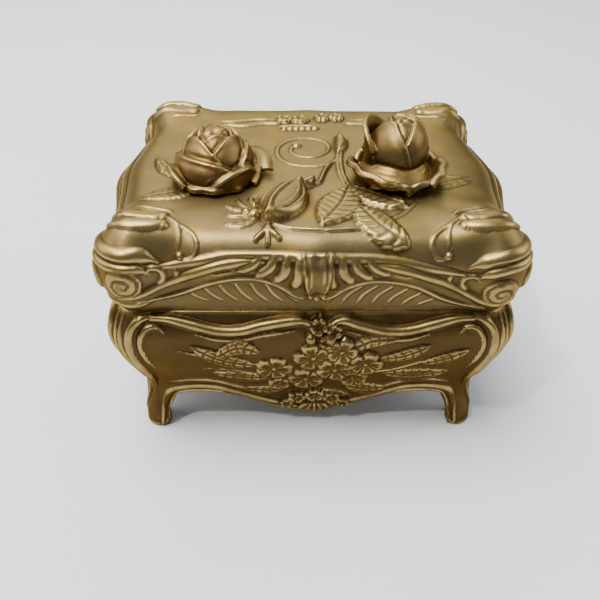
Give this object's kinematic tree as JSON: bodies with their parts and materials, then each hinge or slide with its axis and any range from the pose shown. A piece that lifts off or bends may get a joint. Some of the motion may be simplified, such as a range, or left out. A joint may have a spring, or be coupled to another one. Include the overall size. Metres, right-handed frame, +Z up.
{
  "type": "vanity trinket box",
  "caption": "Bombe cast-metal jewel casket on scroll feet, with a hinged domed lid, applied roses and a padded satin lining.",
  "frame": {"origin": "on the table surface, under the middle of the closed box", "axes": "+X to the right along the long front, +Y to the back where the hinges are, +Z up"},
  "size_m": [0.1572, 0.1278, 0.1173],
  "materials": {
    "gilt": "satin gold paint, worn bright on high spots and dark in the hollows",
    "brass": "dulled",
    "steel": "plain drawn wire",
    "tinplate": "dull sheet",
    "satin": "aged champagne satin",
    "board": "pasteboard",
    "gimp": "twisted cord"
  },
  "bodies": {
    "casket": {"body_shell": "gilt", "floor_plate": "tinplate", "floor_card": "board", "floor_pad": "satin", "wall_pad_front": "satin", "wall_pad_back": "satin", "wall_pad_left": "satin", "wall_pad_right": "satin", "body_rim_cord": "gimp", "hinge_body_leaf_left": "brass", "hinge_body_leaf_right": "brass", "hinge_pin_left": "steel", "hinge_pin_right": "steel"},
    "lid": {"lid_shell": "gilt", "rose_left": "gilt", "rose_right": "gilt", "lid_card": "board", "lid_pad": "satin", "lid_rim_cord": "gimp", "hinge_lid_leaf_left": "brass", "hinge_lid_leaf_right": "brass"}
  },
  "joints": [
    {"name": "lid_hinge", "type": "hinge", "parent": "casket", "child": "lid", "pos_m": [0, 0.0605, 0.0657], "axis": [-1, 0, 0], "range_deg": [0, 100]}
  ]
}
